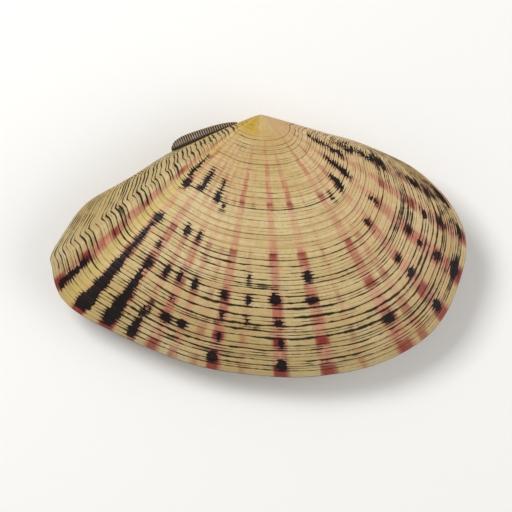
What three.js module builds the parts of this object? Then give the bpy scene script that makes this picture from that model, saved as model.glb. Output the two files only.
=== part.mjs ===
// A closed bivalve shell lying on its left valve: two thin, hollow valves and the dark ligament
// behind their beaks. Millimetres, +X towards the shell's front end, +Y towards its beaks, +Z up.
//
// The shell is drawn first in its own frame, with the beaks at the origin and the valves meeting
// at z = 0. Each growth stage is the rim's outline shrunk towards the beaks by a stage number
// (1 at the rim, 0 at the beak) and swung outwards about the hinge, as a shell grows.
import * as THREE from 'three';

// The rim, from the hinge round the front, the belly and the pointed rear end to the hinge.
const RIM = [
  [1.0, -0.4], [5.0, -1.4], [9.1, -2.2], [14.1, -3.5], [19.3, -5.6], [22.9, -7.4],
  [25.5, -9.3], [28.8, -12.7], [31.2, -16.9], [31.8, -20.5], [30.8, -25.4], [28.3, -31.1],
  [24.9, -34.8], [17.7, -38.6], [7.4, -40.5], [-0.6, -40.3], [-10.2, -38.8], [-19.8, -35.2],
  [-23.9, -33.2], [-27.3, -31.5], [-29.8, -29.9], [-31.4, -28.3], [-32.3, -26.6],
  [-32.7, -25.0], [-32.9, -23.4], [-33.2, -21.9], [-31.2, -18.2], [-27.7, -13.5],
  [-21.0, -9.5], [-14.4, -5.3], [-9.1, -3.0], [-3.6, -0.9], [-1.0, -0.3],
];

// How far each stage has swung outwards from the rim's plane, in radians.
const SWING = 0.84;
const BEAK_CURL = 0.55;
const BEAK_CURL_SPAN = 0.05;

// The beaks stand a little above the hinge and apart from each other.
const BEAK_RISE = 0.5;
const BEAK_APART = 0.35;
const BEAK_BACK = 0.3;

// The rim bends towards the right valve at the rear end, with one rib and one furrow beside it.
// Directions are in degrees about the beak, from the rear (0) through the belly (90).
const REAR_BEND = { height: 1.3, from: 50, to: 27 };
const RIB = { height: 0.6, at: 36, width: 2.3 };
const FURROW = { height: -0.5, at: 42.5, width: 2.8 };

// A growth line runs further out towards the hinge margins, so that it meets them steeply: how
// far, by direction. Past the rib's sharp upper edge it falls back: how far, from where, and over
// how many degrees.
const MARGIN_BOW = [
  [24.6, 1.0], [25.2, 0.6], [26, 0.33], [29, 0.16], [33, 0], [152, 0], [156, 0.12],
  [160, 0.37], [162, 0.63], [164, 1.0],
];
const RIB_FALL = { size: 0.032, from: 33.4, run: 2.0 };
const RIM_FADE = 0.12;

// Growth rests: ledges where the shell stopped for a while, by stage.
const RESTS = [0.955, 0.92, 0.88, 0.83, 0.78, 0.73, 0.67, 0.586, 0.5, 0.411, 0.33, 0.24];
const LEDGE_HEIGHT = 0.15;
const REAR_LEDGE_GAIN = 1.0;
const LEDGE_RUN = 0.004;

// Walls: the inner face is the outer one drawn in about a point in the rim's plane.
const INNER_CENTRE = [0, -20, 0];
const INNER_SCALE = [0.964, 0.948, 0.87];
const HALF_GAP = 0.15;

// Facets.
const COLUMNS = 60;
const REAR_DENSITY = 3;
const REAR_SPAN = [22, 48];
const EARLY_STAGES = [0.17, 0.11, 0.06, 0.025];
const INNER_STAGES = [1, 0.93, 0.82, 0.68, 0.52, 0.36, 0.2, 0.08];

// The ligament, along its seat behind the beaks: distance, height of its back, half its width.
const SEAT_START = [-14.3, -5.0];
const SEAT_END = [-3.9, -0.75];
const SEAT_LIFT = 0.35;
const LIGAMENT = [
  [0.0, 0.25, 0.2], [0.8, 1.0, 0.65], [2.1, 1.35, 0.85], [4.0, 1.35, 0.95], [6.0, 1.2, 0.9],
  [8.0, 1.0, 0.75], [9.8, 0.65, 0.5], [11.1, 0.2, 0.2],
];
const LIGAMENT_SIDES = 10;
const LIGAMENT_STEPS = 14;

// How the shell lies: degrees turned about X and Y so that it balances on its fullest spot, then
// moved so that it stands centred on the origin with that spot just flattened.
const REST_TURN = [2.7, -2.0];
const REST_SHIFT = [0.73, 19.89, 9.18];

const rimCurve = new THREE.CatmullRomCurve3(
  RIM.map(([x, y]) => new THREE.Vector3(x, y, 0)), false, 'centripetal');

function directionOf(point) {
  return THREE.MathUtils.radToDeg(Math.atan2(-point.y, -point.x));
}

function bump(value, { height, at, width }) {
  return height * Math.exp(-(((value - at) / width) ** 2));
}

// The rim's height out of its plane, towards the right valve.
function rimHeight(direction) {
  const { height, from, to } = REAR_BEND;
  const bend = height * THREE.MathUtils.smoothstep(from - direction, 0, from - to);
  const fade = THREE.MathUtils.smoothstep(direction, 19, 26);
  return (bend + bump(direction, RIB) + bump(direction, FURROW)) * fade;
}

function swingAt(stage) {
  return SWING * (1 - stage) + BEAK_CURL * Math.exp(-stage / BEAK_CURL_SPAN);
}

// One point of a valve's smooth face. Side is 1 for the right valve and -1 for the left.
function facePoint(rim, stage, side) {
  const swing = side * swingAt(stage);
  const early = (1 - stage) ** 3;
  return new THREE.Vector3(
    stage * rim.x - BEAK_BACK * early,
    stage * (rim.y * Math.cos(swing) + rim.z * Math.sin(swing)) + BEAK_RISE * early,
    stage * (-rim.y * Math.sin(swing) + rim.z * Math.cos(swing)) + side * BEAK_APART * early);
}

function marginBow(direction) {
  const next = MARGIN_BOW.findIndex(([at]) => at > direction);
  if (next === 0) return MARGIN_BOW[0][1];
  if (next < 0) return MARGIN_BOW.at(-1)[1];
  const [[from, low], [to, high]] = MARGIN_BOW.slice(next - 1, next + 1);
  return THREE.MathUtils.mapLinear(direction, from, to, low, high);
}

// Where a growth line lies in one direction, as a stage of the smooth face.
function lineStage(stage, direction) {
  const { size, from, run } = RIB_FALL;
  const bow = marginBow(direction) * THREE.MathUtils.smoothstep(stage, 0.03, 0.12);
  const fall = size * (1 - Math.exp(-Math.max(direction - from, 0) / run))
    * THREE.MathUtils.smoothstep(70 - direction, 0, 25) * Math.min((1 - stage) / RIM_FADE, 1);
  return stage * (1 + bow * (1 - stage) - fall);
}

// The ledge under a growth rest: the shell thickens up to each rest, then steps down.
function ledgeHeight(rim, stage) {
  const next = RESTS.findLast((rest) => rest > stage) ?? 1;
  const last = RESTS.find((rest) => rest < stage) ?? 0.15;
  const grown = THREE.MathUtils.clamp((stage - last) / (next - last), 0, 1);
  const rear = THREE.MathUtils.smoothstep(48 - directionOf(rim), 0, 8);
  const fade = THREE.MathUtils.smoothstep(stage * Math.hypot(rim.x, rim.y), 2, 8)
    * THREE.MathUtils.smoothstep(1 - stage, 0, 0.03)
    * THREE.MathUtils.smoothstep(rim.crossing, 0.12, 0.4);
  return LEDGE_HEIGHT * (1 + REAR_LEDGE_GAIN * rear) * grown * fade;
}

// Places along the rim, closer together at the ridged rear end. Crossing says how squarely the
// rim crosses the line from the beak: growth stages crowd together where it is small.
function rimColumns() {
  const fine = rimCurve.getSpacedPoints(1500);
  const reach = [0];
  for (let i = 1; i < fine.length; i += 1) {
    const direction = directionOf(fine[i]);
    const dense = direction > REAR_SPAN[0] && direction < REAR_SPAN[1];
    reach.push(reach[i - 1] + fine[i].distanceTo(fine[i - 1]) * (dense ? REAR_DENSITY : 1));
  }
  return Array.from({ length: COLUMNS + 1 }, (_, column) => {
    const wanted = (reach.at(-1) * column) / COLUMNS;
    const index = reach.findIndex((value) => value >= wanted);
    const rim = fine[index].clone();
    const along = fine[Math.min(index + 9, 1500)].clone().sub(fine[Math.max(index - 9, 0)]);
    rim.crossing = rim.clone().normalize().cross(along.normalize()).length();
    rim.z = rimHeight(directionOf(rim));
    return rim;
  });
}

function outerRing(columns, stage, side) {
  const stages = columns.map((rim) => lineStage(stage, directionOf(rim)));
  const smooth = columns.map((rim, j) => facePoint(rim, stages[j], side));
  return columns.map((rim, j) => {
    const before = smooth[Math.max(j - 1, 0)];
    const along = smooth[Math.min(j + 1, smooth.length - 1)].clone().sub(before);
    const inwards = facePoint(rim, stages[j] - 0.01, side)
      .sub(facePoint(rim, stages[j] + 0.01, side));
    const normal = inwards.cross(along).normalize().multiplyScalar(side);
    return smooth[j].clone().addScaledVector(normal, ledgeHeight(rim, stage));
  });
}

function innerPoint(point) {
  const centre = new THREE.Vector3(...INNER_CENTRE);
  return point.sub(centre).multiply(new THREE.Vector3(...INNER_SCALE)).add(centre);
}

// A closed skin over rings of equal length that starts and ends in a point.
function skin(start, rings, end, flip) {
  const points = [start, ...rings.flat(), end];
  const count = rings[0].length;
  const at = (ring, j) => 1 + ring * count + (j % count);
  const faces = [];
  for (let j = 0; j < count; j += 1) {
    faces.push([0, at(0, j), at(0, j + 1)]);
    for (let ring = 0; ring + 1 < rings.length; ring += 1) {
      faces.push([at(ring, j), at(ring + 1, j), at(ring, j + 1)]);
      faces.push([at(ring, j + 1), at(ring + 1, j), at(ring + 1, j + 1)]);
    }
    faces.push([at(rings.length - 1, j), points.length - 1, at(rings.length - 1, j + 1)]);
  }
  const geometry = new THREE.BufferGeometry().setFromPoints(points);
  geometry.setIndex(faces.flatMap(([a, b, c]) => (flip ? [a, c, b] : [a, b, c])));
  geometry.computeVertexNormals();
  return geometry;
}

// The underside's lowest spot is flat, as if just worn, where the shell lies on a surface.
function settle(point, placement) {
  const placed = point.clone().applyMatrix4(placement);
  placed.z = Math.max(placed.z, 0);
  return placed.applyMatrix4(placement.clone().invert());
}

function valve(side, columns, placement) {
  const ledges = RESTS.flatMap((rest) => [rest + LEDGE_RUN, rest - LEDGE_RUN]);
  const inner = INNER_STAGES.toReversed().map(
    (stage) => columns.map((rim) => innerPoint(facePoint(rim, stage, side))));
  const outer = [1, ...ledges, ...EARLY_STAGES].map((stage) => outerRing(columns, stage, side));
  const beak = facePoint(columns[0], 0, side);
  const rings = [...inner, ...outer];
  const ends = [innerPoint(beak.clone()), beak];
  for (const point of [...rings.flat(), ...ends]) {
    point.z += side * HALF_GAP;
    point.copy(settle(point, placement));
  }
  return skin(ends[0], rings, ends[1], side < 0);
}

// The ligament: a low arched band that tapers at both ends, on the seat behind the beaks.
function ligament() {
  const start = new THREE.Vector3(...SEAT_START, 0);
  const along = new THREE.Vector3(...SEAT_END, 0).sub(start).normalize();
  const up = new THREE.Vector3(-along.y, along.x, 0);
  const profile = new THREE.CatmullRomCurve3(LIGAMENT.map((row) => new THREE.Vector3(...row)));
  const rings = Array.from({ length: LIGAMENT_STEPS }, (_, step) => {
    const [distance, height, width] = profile.getPoint(step / (LIGAMENT_STEPS - 1)).toArray();
    return Array.from({ length: LIGAMENT_SIDES }, (_, k) => {
      const turn = (2 * Math.PI * k) / LIGAMENT_SIDES;
      const lift = SEAT_LIFT + (height - SEAT_LIFT) * Math.max(Math.sin(turn), -0.05);
      return start.clone().addScaledVector(along, distance).addScaledVector(up, lift)
        .setZ(width * Math.cos(turn));
    });
  });
  const middle = (ring) => ring.reduce((sum, point) => sum.add(point), new THREE.Vector3())
    .divideScalar(ring.length);
  return skin(middle(rings[0]), rings, middle(rings.at(-1)), false);
}

function piece(name, geometry, material) {
  const mesh = new THREE.Mesh(geometry, material);
  mesh.name = name;
  return mesh;
}

const shellColour = new THREE.MeshStandardMaterial({ color: '#d8c38c', roughness: 0.45 });
const ligamentColour = new THREE.MeshStandardMaterial({ color: '#2e1a10', roughness: 0.6 });

const shell = new THREE.Group();
shell.rotation.set(...REST_TURN.map(THREE.MathUtils.degToRad), 0);
shell.position.set(...REST_SHIFT);
shell.updateMatrix();
const columns = rimColumns();
shell.add(
  piece('right_valve', valve(1, columns, shell.matrix), shellColour),
  piece('left_valve', valve(-1, columns, shell.matrix), shellColour),
  piece('ligament', ligament(), ligamentColour),
);

const model = new THREE.Group();
model.add(shell);
export default model;
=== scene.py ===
"""Looks of a closed, rayed bivalve shell that lies on its left valve.

Each valve is grown as the real one is: the rim's outline shrinks towards the beak through every
growth stage (1 at the rim, 0 at the beak) and swings outwards about the hinge. The growth ridges
are real relief, and the colours are painted by nodes that read the stage and the direction from
the beak.

Shape values are in millimetres, in the shell's own frame: the beaks are at the origin and the
valves meet at z = 0. Directions are in degrees about the beak, from the rear (0) through the
belly (90) to the front (180). A span is a pair of values, where something starts and where it
is full, and it may run downwards. A span of four also says what it gives at its two ends.
"""
import math

import bpy
import numpy as np
from mathutils import Matrix, Vector


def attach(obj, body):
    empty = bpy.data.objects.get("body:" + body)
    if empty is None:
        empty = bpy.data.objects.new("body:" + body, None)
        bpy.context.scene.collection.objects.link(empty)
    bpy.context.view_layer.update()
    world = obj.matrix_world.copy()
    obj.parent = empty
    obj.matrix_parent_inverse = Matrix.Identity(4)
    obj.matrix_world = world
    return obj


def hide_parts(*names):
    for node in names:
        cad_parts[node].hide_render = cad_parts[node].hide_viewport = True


MM = 0.001

# The rim, from the hinge round the front, the belly and the pointed rear end to the hinge.
RIM = [
    (1.0, -0.4), (5.0, -1.4), (9.1, -2.2), (14.1, -3.5), (19.3, -5.6), (22.9, -7.4),
    (25.5, -9.3), (28.8, -12.7), (31.2, -16.9), (31.8, -20.5), (30.8, -25.4), (28.3, -31.1),
    (24.9, -34.8), (17.7, -38.6), (7.4, -40.5), (-0.6, -40.3), (-10.2, -38.8), (-19.8, -35.2),
    (-23.9, -33.2), (-27.3, -31.5), (-29.8, -29.9), (-31.4, -28.3), (-32.3, -26.6),
    (-32.7, -25.0), (-32.9, -23.4), (-33.2, -21.9), (-31.2, -18.2), (-27.7, -13.5),
    (-21.0, -9.5), (-14.4, -5.3), (-9.1, -3.0), (-3.6, -0.9), (-1.0, -0.3),
]

# How far each stage has swung outwards from the rim's plane, in radians.
SWING = 0.84
BEAK_CURL = 0.55
BEAK_CURL_SPAN = 0.05

# The beaks stand a little above the hinge and apart from each other.
BEAK_RISE = 0.5
BEAK_APART = 0.35
BEAK_BACK = 0.3

# The rear end's bend towards the right valve (height and where it runs), and its rib and furrow
# (height, place and width). All three start past the hinge margin.
REAR_BEND = (1.3, 50, 27)
RIB = (0.6, 36, 2.3)
FURROW = (-0.5, 42.5, 2.8)
HINGE_MARGIN = (19, 26)

# Parts of the shell, as spans of direction.
REAR_END = (48, 40)
RIB_AND_BELOW = (30, 34)
ABOVE_RIB = (35, 33)

# A growth line runs further out towards the hinge margins, so that it meets them steeply: how
# far, by direction, and from which stages. Past the rib's sharp upper edge it falls back: how
# far, from where, over how many degrees, and where the fall has gone again.
MARGIN_BOW = [(24.6, 1.0), (25.2, 0.6), (26, 0.33), (29, 0.16), (33, 0), (152, 0), (156, 0.12),
              (160, 0.37), (162, 0.63), (164, 1.0)]
BOW_STAGES = (0.03, 0.12)
RIB_FALL = (0.032, 33.4, 2.0)
RIB_FALL_END = (70, 45)
RIM_FADE = 0.12

# Growth rests, by stage, the ledge that stands at each, and the rests with bold lines.
RESTS = [0.955, 0.92, 0.88, 0.83, 0.78, 0.73, 0.67, 0.586, 0.5, 0.411, 0.33, 0.24]
FIRST_LEDGE = 0.15
LEDGE_HEIGHT = 0.15
LEDGE_RIB_GAIN = 0.7
BOLD_RESTS = [0.88, 0.73, 0.586, 0.411, 0.135]

# Fine growth ridges between the rests. Each rises slowly and then falls into the next groove.
RIDGE_STEP = 0.0212
RIDGE_JITTER = 0.24
RIDGE_HEIGHT = 0.09
RIDGE_RIB_GAIN = 1.7
RIDGE_LEAST = 0.6
RIDGE_VARIES = 0.6
FIRST_RIDGE = 0.075
RIDGE_PHASES = [0.0, 0.08, 0.25, 0.5, 0.75, 0.93]
RIDGE_PROFILE = [0.0, 0.35, 0.6, 0.8, 0.95, 1.0]
EARLY_STAGES = [0.01, 0.022, 0.036, 0.052]

# The relief fades near the beak (mm from it), at the rim (stages from it), where growth lines run
# nearly along the line from the beak (how squarely they cross it) and where they crowd (mm
# between two). Above the rib only a share of it is left.
FADE_AT_BEAK = (2, 8)
FADE_AT_RIM = (0, 0.03)
FADE_ALONG = (0.12, 0.4)
FADE_CROWDED = (0.1, 0.65)
SLOPE_RELIEF = 0.4
SLOPE_RELIEF_SPAN = (31, 34)

# A small step between stages, to find slopes and distances with.
STAGE_STEP = 0.01

# The waves that vary a ridge along its length: height, rate and how much that differs from ridge
# to ridge, and how far each ridge and each seed shifts them. The rate rises and falls as a sine
# does, at so many radians a ridge.
WAVES = [(0.28, 0.09, 0.04, 1.7, 1), (0.2, 0.23, 0, 4.1, 2), (0.14, 0.61, 0, 2.9, -1)]
RATE_TURN = 2.3

# Half the width of a growth line, in mm: at the middle of the shell, what it gains outwards and
# over which stages, and from which stages on. An extra is a size and the spans of direction that
# it is kept to: on the rib, above it, at the front and in the furrow. Nearer the beak than those
# stages, a line shows only behind it.
LINE_WIDTH = 0.065
LINE_GAIN = 0.035
LINE_GAIN_STAGES = (0.52, 0.66)
LINE_STAGES = (0.07, 0.17)
LINE_EXTRAS = [
    (0.08, (41, 37)), (0.05, ABOVE_RIB), (0.05, (135, 155)), (-0.04, (38, 40), (48, 45)),
]
BEAK_LINE = (0.08, (75, 60), (30, 38))

# The same for a line midway between two growth lines. None run above the rib.
MIDDLE_WIDTH = 0.06
MIDDLE_GAIN = 0.04
MIDDLE_GAIN_STAGES = (0.55, 0.7)
MIDDLE_STAGES = (0.12, 0.22)
MIDDLE_SPAN = (44, 50)
MIDDLE_EXTRAS = [(0.07, (33.2, 34.5), (43, 40)), (0.06, (140, 158))]

# The most of the way to the next line that half a line's width may take up. It is less at the
# rear, less again for a middle line, and nothing where the lines run along the way from the beak.
LINE_SHARE = 0.29
REAR_LINE_CUT = 0.07
MIDDLE_SHARE = 0.55
LINE_ALONG = (0.15, 0.35)

# How much of its full width a line has. Each has a strength of its own, drawn at random, and a
# wave along it: the least and how much the wave adds. The strong ones swell here and there, most
# of all on the outer stages, at the rear and in a belt round the belly. Above the rib they are
# more even, and at a bold rest they are heavy.
STRENGTHS = (0.25, 1.0)
STRENGTHS_DRAWN = 200
WEIGHT_LEAST = 0.3
WEIGHT_VARIES = 0.9
SWELL_WEIGHT = 1.5
SWELL_STRENGTH = 0.35
SWELL_STAGES = (0.5, 0.62)
SWELL_REAR = 0.6
SLOPE_EVEN = 0.85
SLOPE_LEAST = 0.7
SLOPE_VARIES = 0.3
BELLY_BELT = (2.0, 0.85, 0.14)
BELLY_SPANS = [(46, 56), (150, 125)]
BOLD_WEIGHT = 1.1
BOLD_SWELL = 0.8

# Where lines swell, and where middle lines show: the wave's number by ridge, its seed by side,
# and its gain and cut. A middle line's number is half way to the next ridge's.
SWELLS = (1.3, 4, 3.2, 1.45)
BELLY_SWELLS = (0.9, 2, 3.0, 0.95)
MIDDLE_SHOWN = (1.0, 1, 2.2, 0.7)
MIDDLE_NUMBER = 0.5

# Colour rays: direction, half width in degrees, strength.
# The first ray, at 39 degrees along the rib's lower side, is partly a painted shade of the rib.
RAYS = [
    (39.0, 1.0, 1.0), (46.0, 1.2, 1.0), (53.0, 1.2, 0.95), (59.0, 0.9, 0.6), (64.0, 1.1, 0.8),
    (69.0, 0.9, 0.55), (74.0, 0.7, 0.35), (78.5, 1.2, 0.9), (85.0, 0.6, 0.3), (94.0, 1.3, 1.0),
    (104.7, 1.3, 0.95), (112.0, 0.6, 0.3), (122.0, 1.3, 0.85), (126.5, 0.8, 0.5),
    (132.7, 1.2, 0.85), (141.0, 1.4, 0.95), (149.0, 1.2, 0.85), (156.0, 1.0, 0.55),
]

# Dark marks on the rays: direction, half width in degrees, and from which stage to which.
# The first stroke, black along the rib's lower side, is partly a painted shadow of the rib.
STROKES = [
    (39.4, 0.9, 0.86, 0.985), (46.0, 1.6, 0.6, 0.985), (52.6, 1.5, 0.7, 0.99),
    (58.5, 1.1, 0.87, 0.99), (43.5, 1.2, 0.28, 0.385), (54.0, 1.6, 0.31, 0.405),
    (64.5, 1.5, 0.33, 0.42), (134.0, 1.5, 0.36, 0.43), (141.5, 1.6, 0.31, 0.42),
    (150.5, 1.2, 0.23, 0.39), (157.5, 1.0, 0.36, 0.62),
]

# Spots are scattered where the rays, but for the first, cross these stages, each with a chance
# of its own. Their sizes are the least and how much chance adds, and they shift by so many
# degrees and stages.
SPOT_STAGES = [0.425, 0.575, 0.66, 0.735, 0.8, 0.875, 0.965]
SPOT_CHANCES = [0.3, 0.5, 0.4, 0.8, 0.55, 0.9, 0.85]
SPOT_WIDTH = (0.5, 0.9)
SPOT_LENGTH = (0.012, 0.03)
SPOT_END = 0.008
SPOT_SHIFT = (1.2, 0.016)

# A mark is narrow at its tip (this share of its width) and uneven from ridge to ridge. A long
# one widens all the way out, and a short one is narrow at both ends.
MARK_TIP = 0.35
MARK_LEAST = 0.7
MARK_VARIES = 0.6
MARK_WAVE = (1.7, 3)
LONG_MARK = 0.07

# What a point of a valve's mesh carries for its paint, and its value where there is nothing to
# paint. Direction is in half turns. Gap and middle are how far off the nearest growth line and
# the nearest middle line are, and ink and fine are half their widths, in mm. Dark is how deep
# inside a dark mark the point is, in mm, and below 0 outside one.
PLAIN = {
    "stage": 0, "direction": 0.5, "ridge": 0, "gap": 1, "ink": 0, "middle": 1, "fine": 0,
    "dark": -1, "inside": 0,
}

# A valve's inner face is its outer one drawn in about a point in the rim's plane. Each valve
# stands half a gap off that plane.
INNER_CENTRE = np.array([0.0, -20.0, 0.0])
INNER_SCALE = np.array([0.964, 0.948, 0.87])
INNER_STAGES = [1, 0.93, 0.82, 0.68, 0.52, 0.36, 0.2, 0.08]
HALF_GAP = 0.06

# The mesh: steps of the curve between two points of the rim, places taken along it, and how many
# times closer they are over the span at the rear.
RIM_STEPS = 60
COLUMNS = 350
REAR_DENSITY = 3.0
REAR_SPAN = (22, 48)

# The ligament, along its seat behind the beaks: distance, height of its back, half its width.
SEAT_START = (-14.3, -5.0)
SEAT_END = (-3.9, -0.75)
LIGAMENT = [
    (0.0, 0.25, 0.2), (0.8, 1.0, 0.65), (2.1, 1.35, 0.85), (4.0, 1.35, 0.95), (6.0, 1.2, 0.9),
    (8.0, 1.0, 0.75), (9.8, 0.65, 0.5), (11.1, 0.2, 0.2),
]
LIGAMENT_ROOT = -0.6
LIGAMENT_ARCH = 0.8
LIGAMENT_SIDES = 40
LIGAMENT_STEPS = 40
GROOVE_STEP = 0.37
GROOVE_DEPTH = 0.03

# Where the pieces lie on their UV maps. A valve is laid flat: its corner and size in mm, then
# how its two faces are scaled and moved.
VALVE_CORNER = (-33.6, -41.0)
VALVE_SIZE = 66.0
INNER_MAP = (0.5, (0.01, 0.01))
OUTER_MAP = (0.97, (0.015, 0.355))
LIGAMENT_SIZE = 11.5
LIGAMENT_MAP = (0.96, 0.02)

# How the shell lies, as the solids do: degrees turned about X and Y, then moved.
REST_TURN = (2.7, -2.0)
REST_SHIFT = (0.73, 19.89, 9.18)

# The usual roughness of a noise.
NOISE_ROUGHNESS = 0.55

# Noise on the shell's own grid: waves in a half turn, waves by stage or by ridge, and detail.
BANDS = (5.0, 38.0, 3.0)
RIDGE_SHIFTS = (40.0, 0.9, 3.0)
STREAKS = (620.0, 9.0, 2.0)
BREAKS = (26.0, 0.33, 3.0)
RAGGED = (100.0, 110.0, 3.0)

# Noise in space: waves in a metre, detail, and roughness where it isn't the usual one.
CLOUDS = (90.0, 3.0)
SPECKS = (1900.0, 2.0, 0.7)
PATCHES = (420.0, 3.0)
INK_GRAIN = (700.0, 2.0)
FINE_GRAIN = (2600.0, 3.0)
WAVER = (900.0, 2.0)

# The cream and tan ground by stage, and the layers that the bands, clouds and specks lay on it:
# the span of the noise, colour and strength.
GROUND = [
    (0.0, "c6b065"), (0.06, "bfa656"), (0.12, "ba9e54"), (0.2, "c3ab6d"), (0.36, "cab480"),
    (0.42, "d1be8d"), (0.58, "cbb581"), (0.72, "cfba88"), (0.88, "bca36b"), (1.0, "c3ad79"),
]
GROUND_LAYERS = [
    ((0.38, 0.68), "bb9c66", 0.75), ((0.45, 0.75), "dccda2", 0.5), ((0.35, 0.75), "a98c58", 0.45),
]

# The yellow flank behind the beak and the blush before it: spans of stage and of direction in
# half turns, colour and strength. Their edges drift by so much in direction and stage.
BEAK_PATCHES = [
    ((0.21, 0.13), (0.68, 0.5), "ba9622", 0.9), ((0.24, 0.12), (0.62, 0.85), "c79a7a", 0.45),
]
PATCH_DRIFT = (0.3, 0.08)

# The tan slope above the rib, the smooth yellow furrow and the flushed front, in the same way.
SLOPE_TAN = ((0.21, 0.18), "a48c55", 0.45)
FURROW_STOPS = [(0.215, 0.0), (0.235, 0.65), (0.25, 0.55), (0.285, 0.0)]
FURROW_YELLOW = "c9b064"
FRONT_FLUSH = ((0.1, 0.4), (0.6, 0.8), "d4a888", 0.2)

# A ray is full and then gone at these shares of its half width, and shifts a little sideways
# from ridge to ridge. Its strength goes by stage, and it is redder in places. One ramp node
# holds only some of the rays.
RAY_FULL = 0.945
RAY_GONE = 1.5525
RAY_SHIFT = 0.01
RAYS_PER_RAMP = 6
RAY_STOPS = [
    (0.1, 0.25), (0.25, 0.75), (0.41, 0.8), (0.44, 0.4), (0.56, 0.6), (0.59, 0.85), (0.72, 0.8),
    (0.76, 0.95), (0.9, 0.9), (1.0, 0.95),
]
RAY_STREAKS = (0.35, 0.65, 0.65, 1.0)
RAY_PINK = ("c47d6a", 0.85)
RAY_RED_SPAN = (0.46, 0.6)
RAY_RED = ("a8473c", 0.75)

# Crimson blocks where the rays cross the growth rests.
CRIMSON_STOPS = [
    (0.38, 0.0), (0.392, 0.9), (0.415, 0.0), (0.558, 0.0), (0.566, 1.0), (0.59, 0.3),
    (0.705, 0.0), (0.715, 0.9), (0.738, 0.9), (0.75, 0.0), (0.845, 0.0), (0.857, 1.0),
    (0.88, 1.0), (0.89, 0.0), (0.955, 0.0), (0.965, 0.9),
]
CRIMSON_SPAN = (0.28, 0.45)
CRIMSON = "86221d"

# Ink: grain makes a line's width uneven, and lines swell towards the dark marks. A line is solid
# up to a share of its reach. Thin ones are olive and wide ones black and stronger. The dark
# marks have ragged edges.
INK_UNEVEN = (0.3, 0.7, 0.6, 1.5)
INK_NEAR_MARK = (-0.8, 0.1)
INK_SWELL = (0.4, 0.6, 0.03, 0.2)
INK_SOLID = 0.5
INK_BLACK_SPAN = (0.055, 0.105)
INK_STRENGTH = (0.85, 0.97)
INK_OLIVE = "4d3b17"
INK_BLACK = "120b06"
MARK_RAGGED = 1.4
MARK_EDGE = (-0.03, 0.03)
MARK_BLACK = ("0c0705", 0.98)

# The shell's other values. The inside of the valves is pale and plain.
INSIDE_CREAM = "efe3cd"
SHELL_ROUGHNESS = (0.3, 0.7, 0.34, 0.5)
MARK_ROUGHNESS = 0.12
SHELL_SPECULAR = 0.26
GRAIN_BUMP = 0.12
GRAIN_HEIGHT = 0.00004

# The ligament: pale bars on its ridges, and dark grooves, edges and crest.
BAR_SHIFT = 0.12
BAR_SPAN = (-0.8, -0.15)
EDGE_STOPS = [(0.1, 1.0), (0.25, 0.0), (0.94, 0.0), (0.985, 1.0)]
BAR_DARK = "211008"
BAR_PALE = "a58a5c"
LIGAMENT_ROUGHNESS = (0.3, 0.7, 0.45, 0.65)

# The camera looks squarely at the rim's plane from far off. Only its clip distances are in
# metres.
LENS = 200.0
SENSOR = 36.0
CAMERA_CLIP = (0.01, 10.0)
FRAME_WIDTH = 80.13
FRAME_CENTRE = (-1.1, -21.6)

# The stage, in metres: a pale floor under an even sky, and lights by energy, size and place.
FLOOR_SIZE = 3.0
FLOOR_WHITE = "f4f3f0"
FLOOR_ROUGHNESS = 0.8
SKY = 0.4
LIGHTS = {"key": (1.08, 0.16, (-0.18, 0.15, 0.35)), "fill": (1.1, 0.5, (0.42, -0.08, 0.36))}

# Each valve draws its random values from this seed and its side.
SEED = 5


def smoothstep(value, low, high):
    part = np.clip((value - low) / (high - low), 0, 1)
    return part * part * (3 - 2 * part)


def bump(value, height, place, width):
    return height * np.exp(-(((value - place) / width) ** 2))


def kept_to(direction, size, *spans):
    """A size that is whole only in the directions where every span is full."""
    for span in spans:
        size = size * smoothstep(direction, *span)
    return size


def smooth_curve(points, steps):
    """A centripetal curve through the points, with a number of steps between each two."""
    points = np.array(points, float)
    points = np.vstack([2 * points[0] - points[1], points, 2 * points[-1] - points[-2]])
    part = np.linspace(0, 1, steps, endpoint=False)[:, None]
    curve = []
    for a, b, c, d in zip(points, points[1:], points[2:], points[3:]):
        ab, bc, cd = (math.sqrt(math.dist(p, q)) for p, q in ((a, b), (b, c), (c, d)))
        start = ((b - a) / ab - (c - a) / (ab + bc) + (c - b) / bc) * bc
        end = ((c - b) / bc - (d - b) / (bc + cd) + (d - c) / cd) * bc
        curve.append(
            b
            + start * part
            + (3 * (c - b) - 2 * start - end) * part**2
            + (2 * (b - c) + start + end) * part**3
        )
    return np.vstack([*curve, points[-2]])


def direction_of(points):
    return np.degrees(np.arctan2(-points[:, 1], -points[:, 0]))


def rim_columns():
    """Places on the rim, crowded at the ridged rear end, and their directions."""
    fine = smooth_curve(RIM, RIM_STEPS)
    direction = direction_of(fine)
    rear = (direction > REAR_SPAN[0]) & (direction < REAR_SPAN[1])
    step = np.linalg.norm(np.diff(fine, axis=0), axis=1) * np.where(rear[1:], REAR_DENSITY, 1)
    reach = np.concatenate([[0], np.cumsum(step)])
    wanted = np.linspace(0, reach[-1], COLUMNS)
    rim = np.column_stack([np.interp(wanted, reach, fine[:, axis]) for axis in (0, 1)])
    direction = direction_of(rim)
    height, start, end = REAR_BEND
    bend = height * smoothstep(start - direction, 0, start - end)
    lift = bend + bump(direction, *RIB) + bump(direction, *FURROW)
    return np.column_stack([rim, lift * smoothstep(direction, *HINGE_MARGIN)]), direction


def face_points(rim, stage, side):
    """Points of a valve's smooth face. Side is 1 for the right valve, -1 for the left."""
    swing = side * (SWING * (1 - stage) + BEAK_CURL * np.exp(-stage / BEAK_CURL_SPAN))
    early = (1 - stage) ** 3
    x, y, z = rim.T
    return np.column_stack([
        stage * x - BEAK_BACK * early,
        stage * (y * np.cos(swing) + z * np.sin(swing)) + BEAK_RISE * early,
        stage * (z * np.cos(swing) - y * np.sin(swing)) + side * BEAK_APART * early,
    ])


def inner_points(points):
    return INNER_CENTRE + (points - INNER_CENTRE) * INNER_SCALE


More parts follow.
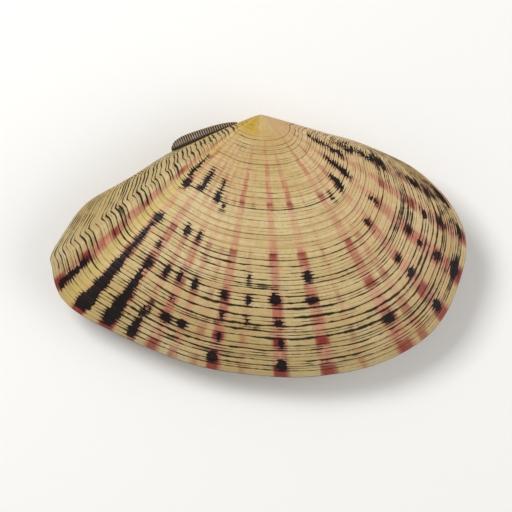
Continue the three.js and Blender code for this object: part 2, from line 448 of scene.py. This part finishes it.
def line_stages(stage, direction):
    """Where one growth line lies in each direction, as stages of the smooth face."""
    bow = np.interp(direction, *zip(*MARGIN_BOW)) * smoothstep(stage, *BOW_STAGES)
    size, edge, run = RIB_FALL
    fall = size * (1 - np.exp(-np.maximum(direction - edge, 0) / run))
    fall *= smoothstep(direction, *RIB_FALL_END) * min((1 - stage) / RIM_FADE, 1)
    return stage * (1 + bow * (1 - stage) - fall)


def smooth_line(rim, direction, stage, side):
    """A growth line on the smooth face: its points, the normals there, how squarely it crosses
    the way from the beak, and its distance from the next line, in mm for a whole stage."""
    stages = line_stages(stage, direction)
    points = face_points(rim, stages, side)
    along = np.gradient(points, axis=0)
    along /= np.linalg.norm(along, axis=1)[:, None]
    outer, inner = (face_points(rim, stages + step, side) for step in (STAGE_STEP, -STAGE_STEP))
    inwards = inner - outer
    normals = np.cross(inwards, along) * side
    across = np.linalg.norm(normals, axis=1)
    crossing = across / np.linalg.norm(inwards, axis=1)
    next_points = face_points(rim, line_stages(stage - STAGE_STEP, direction), side)
    pace = np.linalg.norm(np.cross(next_points - points, along), axis=1) / STAGE_STEP
    return points, normals / across[:, None], crossing, pace


def growth_rows(random):
    """The stages that carry mesh rows, rim first: stage, ridge number, height in the ridge, and
    how far off the nearest groove and the ridge's middle are. Each rest is also a ridge's end."""
    ends = [FIRST_RIDGE]
    for rest in [*sorted(RESTS), 1.0]:
        count = max(1, round((rest - ends[-1]) / RIDGE_STEP))
        step = (rest - ends[-1]) / count
        jitter = random.uniform(-RIDGE_JITTER, RIDGE_JITTER, count - 1)
        ends += [*(ends[-1] + step * (np.arange(1, count) + jitter)), rest]
    rows = []
    for ridge, (start, end) in enumerate(zip(ends, ends[1:])):
        for phase, height in zip(RIDGE_PHASES, RIDGE_PROFILE):
            gap = min(phase, 1 - phase) * (end - start)
            middle = abs(phase - 0.5) * (end - start)
            rows.append((start + phase * (end - start), ridge, height, gap, middle))
    rows = [*((stage, 0, 0, FIRST_RIDGE - stage, 1) for stage in EARLY_STAGES), *rows]
    rows.append((1.0, len(ends), 0, 0, 1))
    return rows[::-1]


def wander(direction, number, seed):
    """A slow wave between 0 and 1 along a ridge, different for each ridge."""
    wave = 0.5
    for height, rate, differs, by_number, by_seed in WAVES:
        turn = direction * (rate + differs * math.sin(number * RATE_TURN))
        wave = wave + height * np.sin(turn + number * by_number + seed * by_seed)
    return np.clip(wave, 0, 1)


def wave_tops(direction, ridge, side, by_ridge, by_side, gain, cut):
    """1 where a ridge's wave is high and 0 where it is low."""
    return np.clip(gain * wander(direction, ridge * by_ridge, side * by_side) - cut, 0, 1)


def ledge_height(stage):
    """The shell thickens up to each growth rest, then steps down."""
    ends = [FIRST_LEDGE, *sorted(RESTS), 1.0]
    after = next(end for end in ends if end > stage or end == 1.0)
    before = ends[ends.index(after) - 1]
    return LEDGE_HEIGHT * min(max((stage - before) / (after - before), 0), 1)


def relief(rim, direction, stage, height, vary, crossing, pace):
    """How far the ledges and ridges stand off the smooth face, in mm."""
    fade = smoothstep(stage * np.linalg.norm(rim[:, :2], axis=1), *FADE_AT_BEAK)
    fade *= smoothstep(crossing, *FADE_ALONG) * smoothstep(1 - stage, *FADE_AT_RIM)
    slope = SLOPE_RELIEF + (1 - SLOPE_RELIEF) * smoothstep(direction, *SLOPE_RELIEF_SPAN)
    fade *= smoothstep(RIDGE_STEP * pace, *FADE_CROWDED) * slope
    rib = kept_to(direction, 1, REAR_END, RIB_AND_BELOW)
    ledge = ledge_height(stage) * (1 + LEDGE_RIB_GAIN * rib)
    ridge = RIDGE_HEIGHT * height * (1 + RIDGE_RIB_GAIN * rib)
    return (ledge + ridge * (RIDGE_LEAST + RIDGE_VARIES * vary)) * fade


def line_width(stage, direction):
    """Half the full width of a growth line, in mm."""
    late = smoothstep(stage, *LINE_STAGES)
    width = LINE_WIDTH + LINE_GAIN * smoothstep(stage, *LINE_GAIN_STAGES)
    width = width + sum(kept_to(direction, *extra) for extra in LINE_EXTRAS)
    return np.maximum(width * late + kept_to(direction, *BEAK_LINE) * (1 - late), 0)


def middle_width(stage, direction):
    """Half the full width of a line midway between two growth lines, in mm."""
    width = MIDDLE_WIDTH + MIDDLE_GAIN * smoothstep(stage, *MIDDLE_GAIN_STAGES)
    width = kept_to(direction, width, MIDDLE_SPAN)
    width = width + sum(kept_to(direction, *extra) for extra in MIDDLE_EXTRAS)
    return width * smoothstep(stage, *MIDDLE_STAGES)


def line_weight(direction, stage, ridge, side, strength, vary):
    """How much of its full width a growth line has in each direction."""
    outer = smoothstep(stage, *SWELL_STAGES) + kept_to(direction, SWELL_REAR, REAR_END)
    swelling = outer * wave_tops(direction, ridge, side, *SWELLS)
    if any(abs(stage - rest) < STAGE_STEP for rest in BOLD_RESTS):
        return BOLD_WEIGHT + BOLD_SWELL * swelling
    weight = strength * (WEIGHT_LEAST + WEIGHT_VARIES * vary)
    if strength > SWELL_STRENGTH:
        weight = weight + SWELL_WEIGHT * swelling
    even = SLOPE_LEAST + SLOPE_VARIES * vary
    weight = weight + kept_to(direction, SLOPE_EVEN, ABOVE_RIB) * (even - weight)
    belt = kept_to(direction, bump(stage, *BELLY_BELT), *BELLY_SPANS)
    return weight + belt * wave_tops(direction, ridge, side, *BELLY_SWELLS)


def dark_marks(random):
    """The strokes, and spots scattered where the rays cross the growth rests."""
    marks = list(STROKES)
    for direction, width, strength in RAYS[1:]:
        for stage, chance in zip(SPOT_STAGES, SPOT_CHANCES):
            size, run, shift, roll = random.uniform(0, 1, 4)
            if roll < chance * strength:
                turned, reached = (most * (shift - 0.5) for most in SPOT_SHIFT)
                start = stage + reached
                marks.append((
                    direction + turned, width * (SPOT_WIDTH[0] + SPOT_WIDTH[1] * size),
                    start - SPOT_LENGTH[0] - SPOT_LENGTH[1] * run, start + SPOT_END))
    return marks


def darkness(marks, stage, direction, ridge, reach):
    """How deep inside a dark mark each point is, in mm, and below 0 outside one."""
    deepest = np.full_like(direction, PLAIN["dark"])
    by_ridge, seed = MARK_WAVE
    for middle, width, start, end in marks:
        part = np.clip((stage - start) / (end - start), 0, 1)
        uneven = MARK_LEAST + MARK_VARIES * wander(middle, by_ridge * ridge, seed)
        swell = part if end - start > LONG_MARK else np.sin(np.pi * part)
        room = width * (MARK_TIP + (1 - MARK_TIP) * swell) * uneven - np.abs(direction - middle)
        beside = stage * reach * np.radians(room)
        beyond = reach * min(stage - start, end - stage)
        deepest = np.maximum(deepest, np.minimum(beside, beyond))
    return deepest


def rest_turn(size):
    about_x, about_y = (math.radians(angle) for angle in REST_TURN)
    return Matrix.Rotation(about_x, size, "X") @ Matrix.Rotation(about_y, size, "Y")


def place(points):
    """From the shell's own frame to where it lies, in metres, flat where it touches down."""
    placed = points @ np.array(rest_turn(3)).T + np.array(REST_SHIFT)
    placed[:, 2] = np.maximum(placed[:, 2], 0)
    return placed * MM


def skin(name, rings, start, end, flip):
    """A closed mesh over rings of equal length that starts and ends in a point."""
    count = len(rings[0])
    verts = np.vstack([start, *rings, end])
    column = np.arange(count)
    after = (column + 1) % count
    faces = []
    for ring in range(len(rings) - 1):
        here, there = 1 + ring * count, 1 + (ring + 1) * count
        quads = np.column_stack([here + column, there + column, there + after, here + after])
        faces += quads.tolist()
    last = 1 + (len(rings) - 1) * count
    faces += np.column_stack([0 * column, 1 + column, 1 + after]).tolist()
    tip = np.full(count, len(verts) - 1)
    faces += np.column_stack([last + column, tip, last + after]).tolist()
    if flip:
        faces = [face[::-1] for face in faces]
    mesh = bpy.data.meshes.new(name)
    mesh.from_pydata(verts.tolist(), [], faces)
    mesh.polygons.foreach_set("use_smooth", [True] * len(mesh.polygons))
    mesh.update()
    piece = bpy.data.objects.new(name, mesh)
    bpy.context.scene.collection.objects.link(piece)
    return piece


def set_attribute(piece, name, values):
    layer = piece.data.attributes.new(name, "FLOAT", "POINT")
    layer.data.foreach_set("value", np.asarray(values, np.float32))


def set_map(piece, places):
    """A UV map that gives each vertex one place."""
    corners = np.zeros(len(piece.data.loops), np.int32)
    piece.data.loops.foreach_get("vertex_index", corners)
    layer = piece.data.uv_layers.new(name="OFBake")
    layer.data.foreach_set("uv", places[corners].astype(np.float32).ravel())


def growth_row(row, rim, direction, side, strengths, marks):
    """One row of a valve's outside: its points, and what they carry for the paint."""
    stage, ridge, height, gap, middle = row
    smooth, normals, crossing, pace = smooth_line(rim, direction, stage, side)
    vary = wander(direction, ridge, side)
    rise = relief(rim, direction, stage, height, vary, crossing, pace)
    share = LINE_SHARE - kept_to(direction, REAR_LINE_CUT, REAR_END)
    room = share * RIDGE_STEP * pace * smoothstep(crossing, *LINE_ALONG)
    weight = line_weight(direction, stage, ridge, side, strengths[ridge], vary)
    shown = wave_tops(direction, ridge + MIDDLE_NUMBER, side, *MIDDLE_SHOWN)
    thin = strengths[-1 - ridge] * shown
    return smooth + normals * rise[:, None], PLAIN | {
        "stage": stage,
        "direction": direction / 180,
        "ridge": ridge,
        "gap": gap * pace,
        "ink": np.minimum(weight * line_width(stage, direction), room),
        "middle": middle * pace,
        "fine": np.minimum(thin * middle_width(stage, direction), MIDDLE_SHARE * room),
        "dark": darkness(marks, stage, direction, ridge, np.linalg.norm(rim, axis=1)),
    }


def make_valve(name, side, columns, random):
    """One valve: its inner face from the beak to the rim, then its outside back to the beak."""
    rim, direction = columns
    rings, facts = [], []
    for stage in INNER_STAGES[::-1]:
        rings.append(inner_points(face_points(rim, stage, side)))
        facts.append(PLAIN | {"stage": stage, "direction": direction / 180, "inside": 1})
    strengths = random.uniform(*STRENGTHS, STRENGTHS_DRAWN)
    marks = dark_marks(random)
    for row in growth_rows(random):
        ring, carried = growth_row(row, rim, direction, side, strengths, marks)
        rings.append(ring)
        facts.append(carried)
    beak = face_points(rim[:1], 0.0, side)
    start = inner_points(beak)
    lift = np.array([0, 0, side * HALF_GAP])
    piece = skin(
        name, [place(ring + lift) for ring in rings], place(start + lift), place(beak + lift),
        side < 0)
    for fact, none in PLAIN.items():
        values = [np.broadcast_to(row[fact], COLUMNS) for row in facts]
        set_attribute(piece, fact, np.concatenate([[none], *values, [none]]))
    flat = (np.vstack([start, *rings, beak])[:, :2] - VALVE_CORNER) / VALVE_SIZE
    inside = np.arange(len(flat)) <= len(INNER_STAGES) * COLUMNS
    inner, outer = (flat * scale + shift for scale, shift in (INNER_MAP, OUTER_MAP))
    set_map(piece, np.where(inside[:, None], inner, outer))
    return piece


def make_ligament():
    """The arched, cross-grooved band behind the beaks, rooted between the valves."""
    start = np.array(SEAT_START)
    along = np.array(SEAT_END) - start
    along /= np.linalg.norm(along)
    up = np.array([-along[1], along[0]])
    rows = smooth_curve(LIGAMENT, LIGAMENT_STEPS)
    turn = np.linspace(0, 2 * math.pi, LIGAMENT_SIDES, endpoint=False)
    arch = np.where(np.sin(turn) > 0, np.abs(np.sin(turn)) ** LIGAMENT_ARCH, 0)
    rings, facts = [], []
    for distance, height, width in rows:
        groove = GROOVE_DEPTH * np.cos(2 * math.pi * distance / GROOVE_STEP) * arch
        lift = np.where(np.sin(turn) >= 0, height * arch - groove, LIGAMENT_ROOT * -np.sin(turn))
        spot = start + along * distance + up * lift[:, None]
        rings.append(np.column_stack([spot, width * np.cos(turn)]))
        facts.append(np.column_stack([np.full(LIGAMENT_SIDES, distance), arch]))
    ends = [place(ring.mean(axis=0)[None]) for ring in (rings[0], rings[-1])]
    piece = skin("ligament_band", [place(ring) for ring in rings], *ends, False)
    facts = np.vstack([[rows[0, 0], 0], *facts, [rows[-1, 0], 0]])
    set_attribute(piece, "distance", facts[:, 0])
    set_attribute(piece, "arch", facts[:, 1])
    around = np.concatenate([[0.5], np.tile(turn / (2 * math.pi), len(rings)), [0.5]])
    scale, shift = LIGAMENT_MAP
    set_map(piece, np.column_stack([facts[:, 0] / LIGAMENT_SIZE, around]) * scale + shift)
    return piece


def colour(code):
    """A linear colour from a written one such as d8c38c."""
    parts = [int(code[i:i + 2], 16) / 255 for i in (0, 2, 4)]
    return tuple(p / 12.92 if p < 0.04045 else ((p + 0.055) / 1.055) ** 2.4 for p in parts) + (1,)


class Paint:
    """A material with short ways to add its nodes."""

    def __init__(self, name):
        self.material = bpy.data.materials.new(name)
        self.material.use_nodes = True
        self.tree = self.material.node_tree
        self.shader = self.tree.nodes["Principled BSDF"]

    def add(self, kind, inputs, output=0, **settings):
        node = self.tree.nodes.new("ShaderNode" + kind)
        for name, value in settings.items():
            setattr(node, name, value)
        for key, value in inputs.items():
            self.join(value, node.inputs[key])
        return node.outputs[output]

    def join(self, value, socket):
        if isinstance(value, bpy.types.NodeSocket):
            self.tree.links.new(value, socket)
        else:
            socket.default_value = value

    def shade(self, name, value):
        """Gives the shader a value, or another node's result."""
        self.join(value, self.shader.inputs[name])

    def read(self, name):
        return self.add("Attribute", {}, "Fac", attribute_name=name)

    def maths(self, operation, *values):
        return self.add("Math", dict(enumerate(values)), operation=operation)

    def times(self, first, *others):
        for other in others:
            first = self.maths("MULTIPLY", first, other)
        return first

    def plus(self, first, second):
        return self.maths("ADD", first, second)

    def centred(self, noise, most):
        """Noise about 0 instead of a half, made larger or smaller."""
        return self.times(self.maths("SUBTRACT", noise, 0.5), most)

    def spread(self, value, low, high, out_low=0.0, out_high=1.0):
        inputs = {"Value": value, 1: low, 2: high, 3: out_low, 4: out_high}
        return self.add("MapRange", inputs, interpolation_type="SMOOTHSTEP")

    def mix(self, factor, first, second):
        """Inputs 6 and 7 are the node's two colours."""
        return self.add("Mix", {0: factor, 6: first, 7: second}, 2, data_type="RGBA")

    def cover(self, surface, mask, code, strength=1.0):
        """A colour laid on the surface where the mask is 1."""
        return self.mix(self.times(mask, strength), surface, colour(code))

    def noise(self, vector, scale, detail, roughness=NOISE_ROUGHNESS):
        inputs = {"Vector": vector, "Scale": scale, "Detail": detail, "Roughness": roughness}
        return self.add("TexNoise", inputs)

    def grid_noise(self, direction, other, by_direction, by_other, detail):
        """Noise over the shell's own grid of directions and stages or ridges."""
        x, y = self.times(direction, by_direction), self.times(other, by_other)
        return self.noise(self.add("CombineXYZ", {0: x, 1: y}), 1.0, detail)

    def ramp(self, factor, stops):
        node = self.tree.nodes.new("ShaderNodeValToRGB")
        self.tree.links.new(factor, node.inputs[0])
        elements = node.color_ramp.elements
        for _ in stops[2:]:
            elements.new(0.5)
        for element, (position, value) in zip(elements, stops):
            element.position = position
            element.color = colour(value) if isinstance(value, str) else (value,) * 3 + (1,)
        return node.outputs[0]


def ground_layer(paint, where, stage, direction):
    """The cream and tan ground, with its yellow, tan and flushed parts."""
    bands = paint.grid_noise(direction, stage, *BANDS)
    clouds, specks, patches = (paint.noise(where, *noise) for noise in (CLOUDS, SPECKS, PATCHES))
    ground = paint.ramp(stage, GROUND)
    for noise, (span, code, strength) in zip((bands, clouds, specks), GROUND_LAYERS):
        ground = paint.cover(ground, paint.spread(noise, *span), code, strength)
    turned, reached = (
        paint.plus(value, paint.times(patches, drift))
        for value, drift in zip((direction, stage), PATCH_DRIFT))
    for stages, directions, code, strength in BEAK_PATCHES:
        mask = paint.times(paint.spread(reached, *stages), paint.spread(turned, *directions))
        ground = paint.cover(ground, mask, code, strength)
    span, code, strength = SLOPE_TAN
    ground = paint.cover(ground, paint.spread(direction, *span), code, strength)
    ground = paint.cover(ground, paint.ramp(direction, FURROW_STOPS), FURROW_YELLOW)
    stages, directions, code, strength = FRONT_FLUSH
    mask = paint.times(paint.spread(direction, *directions), paint.spread(stage, *stages))
    return paint.cover(ground, mask, code, strength)


def ray_mask(paint, direction):
    """1 along the colour rays and 0 between them."""
    masks = []
    for first in range(0, len(RAYS), RAYS_PER_RAMP):
        stops = []
        for middle, width, strength in RAYS[first:first + RAYS_PER_RAMP]:
            gone, full = width * RAY_GONE, width * RAY_FULL
            edges = [(-gone, 0.0), (-full, strength), (full, strength), (gone, 0.0)]
            stops += [((middle + off) / 180, value) for off, value in edges]
        masks.append(paint.ramp(direction, stops))
    mask = masks[0]
    for other in masks[1:]:
        mask = paint.maths("MAXIMUM", mask, other)
    return mask


def ray_layer(paint, surface, stage, direction, ridge, shifts):
    """Soft pink rays with redder stretches, and crimson blocks at the growth rests."""
    rays = ray_mask(paint, paint.plus(direction, paint.centred(shifts, RAY_SHIFT)))
    streaks = paint.spread(paint.grid_noise(direction, stage, *STREAKS), *RAY_STREAKS)
    tint = paint.times(rays, paint.ramp(stage, RAY_STOPS), streaks)
    surface = paint.cover(surface, tint, *RAY_PINK)
    breaks = paint.grid_noise(direction, ridge, *BREAKS)
    red = paint.times(tint, paint.spread(breaks, *RAY_RED_SPAN))
    surface = paint.cover(surface, red, *RAY_RED)
    blocks = paint.times(
        rays, paint.ramp(stage, CRIMSON_STOPS), paint.spread(shifts, *CRIMSON_SPAN))
    return paint.cover(surface, blocks, CRIMSON)


def ink_layer(paint, surface, where, dark, shifts):
    """Growth lines in the grooves, and the lines midway between them."""
    grain = paint.spread(paint.noise(where, *INK_GRAIN), *INK_UNEVEN)
    swell = paint.times(paint.spread(dark, *INK_NEAR_MARK), paint.spread(shifts, *INK_SWELL))
    for gap, width in (("gap", "ink"), ("middle", "fine")):
        reach = paint.plus(paint.times(paint.read(width), grain), swell)
        solid = paint.times(reach, INK_SOLID)
        line = paint.add("MapRange", {"Value": paint.read(gap), 1: reach, 2: solid})
        black = paint.spread(reach, *INK_BLACK_SPAN)
        tone = paint.mix(black, colour(INK_OLIVE), colour(INK_BLACK))
        strength = paint.spread(black, 0.0, 1.0, *INK_STRENGTH)
        surface = paint.mix(paint.times(line, strength), surface, tone)
    return surface


def shell_paint():
    """Cream and tan, with pink rays, dark growth lines and black marks."""
    paint = Paint("rayed_shell")
    where = paint.add("TexCoord", {}, "Object")
    stage, direction, ridge, dark, inside = (
        paint.read(fact) for fact in ("stage", "direction", "ridge", "dark", "inside"))
    shifts = paint.grid_noise(direction, ridge, *RIDGE_SHIFTS)
    surface = ground_layer(paint, where, stage, direction)
    surface = ray_layer(paint, surface, stage, direction, ridge, shifts)
    surface = ink_layer(paint, surface, where, dark, shifts)
    ragged = paint.centred(paint.grid_noise(direction, stage, *RAGGED), MARK_RAGGED)
    mark = paint.spread(paint.plus(dark, ragged), *MARK_EDGE)
    surface = paint.cover(surface, mark, *MARK_BLACK)
    paint.shade("Base Color", paint.cover(surface, inside, INSIDE_CREAM))

    grain = paint.noise(where, *FINE_GRAIN)
    rough = paint.plus(
        paint.spread(grain, *SHELL_ROUGHNESS), paint.times(mark, MARK_ROUGHNESS))
    paint.shade("Roughness", rough)
    paint.shade("Specular IOR Level", SHELL_SPECULAR)
    bumps = {"Height": grain, "Strength": GRAIN_BUMP, "Distance": GRAIN_HEIGHT}
    paint.shade("Normal", paint.add("Bump", bumps))
    return paint.material


def ligament_paint():
    """Dark brown, with pale bars across."""
    paint = Paint("dark_ligament")
    distance, arch = paint.read("distance"), paint.read("arch")
    waver = paint.noise(paint.add("TexCoord", {}, "Object"), *WAVER)
    shifted = paint.plus(distance, paint.times(waver, BAR_SHIFT))
    wave = paint.maths("COSINE", paint.times(shifted, 2 * math.pi / GROOVE_STEP))
    dark = paint.maths(
        "MAXIMUM", paint.spread(wave, *BAR_SPAN), paint.ramp(arch, EDGE_STOPS))
    paint.shade("Base Color", paint.mix(dark, colour(BAR_PALE), colour(BAR_DARK)))
    paint.shade("Roughness", paint.spread(waver, *LIGAMENT_ROUGHNESS))
    return paint.material


def floor_paint():
    paint = Paint("pale_floor")
    paint.shade("Base Color", colour(FLOOR_WHITE))
    paint.shade("Roughness", FLOOR_ROUGHNESS)
    return paint.material


def add_light(name, energy, size, where):
    """A square light that is aimed at the origin."""
    light = bpy.data.lights.new(name, "AREA")
    light.energy = energy
    light.size = size
    obj = bpy.data.objects.new(name, light)
    bpy.context.scene.collection.objects.link(obj)
    obj.location = where
    obj.rotation_euler = (-obj.location).to_track_quat("-Z", "Y").to_euler()


def make_stage():
    bpy.ops.mesh.primitive_plane_add(size=FLOOR_SIZE)
    floor = bpy.context.object
    floor.name = "floor"
    floor.data.materials.append(floor_paint())
    world = bpy.data.worlds.new("studio")
    bpy.context.scene.world = world
    world.use_nodes = True
    world.node_tree.nodes["Background"].inputs["Color"].default_value = (1.0, 1.0, 1.0, 1)
    world.node_tree.nodes["Background"].inputs["Strength"].default_value = SKY
    for name, light in LIGHTS.items():
        add_light(name, *light)
    bpy.context.scene.view_settings.view_transform = "Standard"


def make_camera():
    camera = bpy.data.cameras.new("camera")
    camera.lens = LENS
    camera.sensor_width = SENSOR
    camera.clip_start, camera.clip_end = CAMERA_CLIP
    obj = bpy.data.objects.new("camera", camera)
    bpy.context.scene.collection.objects.link(obj)
    turn = rest_turn(4)
    distance = FRAME_WIDTH / SENSOR * LENS
    eye = Matrix.Translation(Vector(REST_SHIFT)) @ turn @ Vector((*FRAME_CENTRE, distance))
    obj.matrix_world = Matrix.Translation(eye * MM) @ turn
    bpy.context.scene.camera = obj


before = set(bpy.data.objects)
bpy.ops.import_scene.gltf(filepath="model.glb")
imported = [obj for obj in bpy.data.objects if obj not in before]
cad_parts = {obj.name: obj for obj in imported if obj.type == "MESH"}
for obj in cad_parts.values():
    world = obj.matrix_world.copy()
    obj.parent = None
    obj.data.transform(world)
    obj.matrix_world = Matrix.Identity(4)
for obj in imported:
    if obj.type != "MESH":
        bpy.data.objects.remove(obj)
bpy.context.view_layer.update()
make_camera()
make_stage()
columns = rim_columns()
shell_material = shell_paint()
for name, side, slot in (("right_valve", 1, "shell_upper"), ("left_valve", -1, "shell_lower")):
    valve = make_valve(name + "_skin", side, columns, np.random.default_rng(SEED + side))
    valve.data.materials.append(shell_material)
    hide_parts(name)
    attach(valve, "root")

ligament = make_ligament()
ligament.data.materials.append(ligament_paint())
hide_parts("ligament")
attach(ligament, "root")
